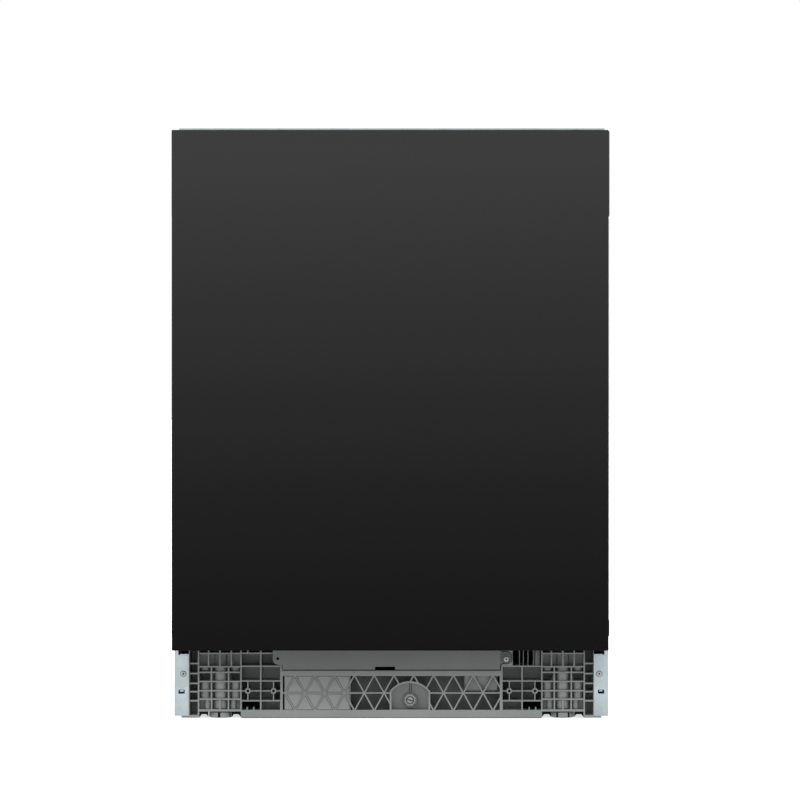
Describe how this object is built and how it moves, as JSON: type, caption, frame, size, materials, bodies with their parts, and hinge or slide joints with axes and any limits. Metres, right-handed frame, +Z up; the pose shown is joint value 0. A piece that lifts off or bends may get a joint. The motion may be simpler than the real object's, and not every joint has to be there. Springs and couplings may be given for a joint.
{
  "type": "fully integrated dishwasher",
  "caption": "Built-in dishwasher with a plain dark front panel, drop-down door, pull-out racks, spray arms and a ribbed base with a truss grille.",
  "frame": {"origin": "middle of the floor area that the machine covers, at the bottom of the feet", "axes": "+X to the right seen from the front, the front panel faces -Y, +Z up"},
  "size_m": [0.598, 0.57, 0.815],
  "materials": {
    "grey_plastic": "moulded",
    "dark_plastic": "moulded",
    "black_gloss": "glossy",
    "zinc_steel": "zinc coated",
    "stainless": "brushed",
    "door_sheet": "painted",
    "foot_plastic": "moulded",
    "screw_steel": "zinc coated",
    "seal_rubber": "matt",
    "bitumen": "felted",
    "sump_plastic": "moulded",
    "clear_plastic": "translucent",
    "white_plastic": "moulded",
    "arm_plastic": "moulded",
    "coated_wire": "nylon coated",
    "rack_plastic": "moulded",
    "key_plastic": "satin",
    "window_glass": "glossy",
    "circuit_board": "lacquered"
  },
  "bodies": {
    "cabinet": {"base_front": "grey_plastic", "base_tray": "dark_plastic", "toe_crossbar": "grey_plastic", "side_frame_right": "zinc_steel", "side_frame_left": "zinc_steel", "front_screws": "zinc_steel", "tub_band": "stainless", "tub_back": "stainless", "tub_floor": "stainless", "tub_gasket": "seal_rubber", "insulation_mats": "bitumen", "top_stabiliser": "zinc_steel", "sump": "sump_plastic", "circulation_pump": "dark_plastic", "drain_pump": "dark_plastic", "softener": "white_plastic", "air_breaker": "clear_plastic", "inlet_valve": "white_plastic", "drain_outlet": "white_plastic", "mains_inlet": "dark_plastic", "feed_pipe": "sump_plastic", "upper_rails": "stainless", "filter_plate": "stainless", "door_springs": "zinc_steel"},
    "door": {"front_panel": "black_gloss", "door_outer": "door_sheet", "door_inner": "stainless", "console": "dark_plastic", "display_window": "window_glass", "control_board": "circuit_board", "door_latch": "sump_plastic", "dispenser_body": "sump_plastic", "hinge_arms": "zinc_steel", "hinge_covers": "dark_plastic"},
    "foot_left": {"front_foot_left": "foot_plastic"},
    "foot_right": {"front_foot_right": "foot_plastic"},
    "foot_rear": {"rear_foot": "foot_plastic"},
    "adjuster": {"adjuster_screw": "screw_steel"},
    "salt_lid": {"salt_cap": "white_plastic"},
    "filter": {"filter_cylinder": "sump_plastic"},
    "arm_low": {"lower_arm": "arm_plastic"},
    "arm_high": {"upper_arm": "arm_plastic"},
    "rack_low": {"lower_rack": "coated_wire", "cutlery_basket": "rack_plastic"},
    "rack_high": {"upper_rack": "coated_wire", "upper_runners": "stainless", "upper_feed": "sump_plastic"},
    "wheels_front": {"lower_wheels_front": "rack_plastic"},
    "wheels_rear": {"lower_wheels_rear": "rack_plastic"},
    "tines_left": {"tine_row_left": "coated_wire"},
    "tines_right": {"tine_row_right": "coated_wire"},
    "shelf_left": {"cup_shelf_left": "rack_plastic"},
    "shelf_right": {"cup_shelf_right": "rack_plastic"},
    "lid": {"dispenser_lid": "key_plastic"},
    "rinse": {"rinse_cap": "key_plastic"},
    "key_1": {"button_1": "key_plastic"},
    "key_2": {"button_2": "key_plastic"},
    "key_3": {"button_3": "key_plastic"},
    "key_4": {"button_4": "key_plastic"},
    "key_5": {"button_5": "key_plastic"}
  },
  "joints": [
    {"name": "door_hinge", "type": "hinge", "parent": "cabinet", "child": "door", "pos_m": [0, -0.25, 0.11], "axis": [1, 0, 0], "range_deg": [0, 90], "stiffness_Nm_per_rad": 25, "deforming": ["door_springs"]},
    {"name": "lower_rack_slide", "type": "slide", "parent": "cabinet", "child": "rack_low", "axis": [0, -1, 0], "range_m": [0, 0.45]},
    {"name": "upper_rack_slide", "type": "slide", "parent": "cabinet", "child": "rack_high", "axis": [0, -1, 0], "range_m": [0, 0.42]},
    {"name": "front_wheels_roll", "type": "hinge", "parent": "rack_low", "child": "wheels_front", "pos_m": [0, -0.15, 0.1613], "axis": [1, 0, 0], "range_deg": [0, 1290]},
    {"name": "rear_wheels_roll", "type": "hinge", "parent": "rack_low", "child": "wheels_rear", "pos_m": [0, 0.19, 0.1613], "axis": [1, 0, 0], "range_deg": [0, 1290]},
    {"name": "left_tines_fold", "type": "hinge", "parent": "rack_low", "child": "tines_left", "pos_m": [-0.12, 0, 0.2068], "axis": [0, 1, 0], "range_deg": [0, 80]},
    {"name": "right_tines_fold", "type": "hinge", "parent": "rack_low", "child": "tines_right", "pos_m": [0.12, 0, 0.2068], "axis": [0, 1, 0], "range_deg": [-80, 0]},
    {"name": "left_shelf_fold", "type": "hinge", "parent": "rack_high", "child": "shelf_left", "pos_m": [-0.2295, 0, 0.574], "axis": [0, 1, 0], "range_deg": [-80, 0]},
    {"name": "right_shelf_fold", "type": "hinge", "parent": "rack_high", "child": "shelf_right", "pos_m": [0.2295, 0, 0.574], "axis": [0, 1, 0], "range_deg": [0, 80]},
    {"name": "lower_arm_spin", "type": "hinge", "parent": "cabinet", "child": "arm_low", "pos_m": [0, 0.022, 0.17], "axis": [0, 0, 1], "continuous": true},
    {"name": "upper_arm_spin", "type": "hinge", "parent": "rack_high", "child": "arm_high", "pos_m": [0, 0.022, 0.47], "axis": [0, 0, 1], "continuous": true},
    {"name": "filter_turn", "type": "hinge", "parent": "cabinet", "child": "filter", "pos_m": [0, -0.052, 0.12], "axis": [0, 0, 1], "range_deg": [0, 90]},
    {"name": "salt_cap_turn", "type": "hinge", "parent": "cabinet", "child": "salt_lid", "pos_m": [-0.15, -0.095, 0.145], "axis": [0, 0, 1], "range_deg": [0, 360]},
    {"name": "detergent_lid_slide", "type": "slide", "parent": "door", "child": "lid", "axis": [1, 0, 0], "range_m": [0, 0.058]},
    {"name": "rinse_cap_turn", "type": "hinge", "parent": "door", "child": "rinse", "pos_m": [0.088, -0.21, 0.44], "axis": [0, 1, 0], "range_deg": [0, 90]},
    {"name": "left_foot_height", "type": "slide", "parent": "cabinet", "child": "foot_left", "axis": [0, 0, -1], "range_m": [0, 0.06]},
    {"name": "right_foot_height", "type": "slide", "parent": "cabinet", "child": "foot_right", "axis": [0, 0, -1], "range_m": [0, 0.06]},
    {"name": "adjuster_turn", "type": "hinge", "parent": "cabinet", "child": "adjuster", "pos_m": [0.0256, 0, 0.0244], "axis": [0, 1, 0], "range_deg": [0, 3600]},
    {"name": "rear_foot_height", "type": "slide", "parent": "cabinet", "child": "foot_rear", "axis": [0, 0, -1], "range_m": [0, 0.06]},
    {"name": "key_1_press", "type": "slide", "parent": "door", "child": "key_1", "axis": [0, 0, -1], "range_m": [0, 0.0012], "stiffness_N_per_m": 400},
    {"name": "key_2_press", "type": "slide", "parent": "door", "child": "key_2", "axis": [0, 0, -1], "range_m": [0, 0.0012], "stiffness_N_per_m": 400},
    {"name": "key_3_press", "type": "slide", "parent": "door", "child": "key_3", "axis": [0, 0, -1], "range_m": [0, 0.0012], "stiffness_N_per_m": 400},
    {"name": "key_4_press", "type": "slide", "parent": "door", "child": "key_4", "axis": [0, 0, -1], "range_m": [0, 0.0012], "stiffness_N_per_m": 400},
    {"name": "key_5_press", "type": "slide", "parent": "door", "child": "key_5", "axis": [0, 0, -1], "range_m": [0, 0.0012], "stiffness_N_per_m": 400}
  ],
  "couplings": [
    {"joint": "lower_rack_slide", "follows": "door_hinge", "m_per_rad": 0.05},
    {"joint": "upper_rack_slide", "follows": "door_hinge", "m_per_rad": 0.26},
    {"joint": "front_wheels_roll", "follows": "door_hinge", "ratio": 2.5},
    {"joint": "rear_wheels_roll", "follows": "door_hinge", "ratio": 2.5},
    {"joint": "rear_foot_height", "follows": "adjuster_turn", "m_per_rad": 0.00095}
  ]
}
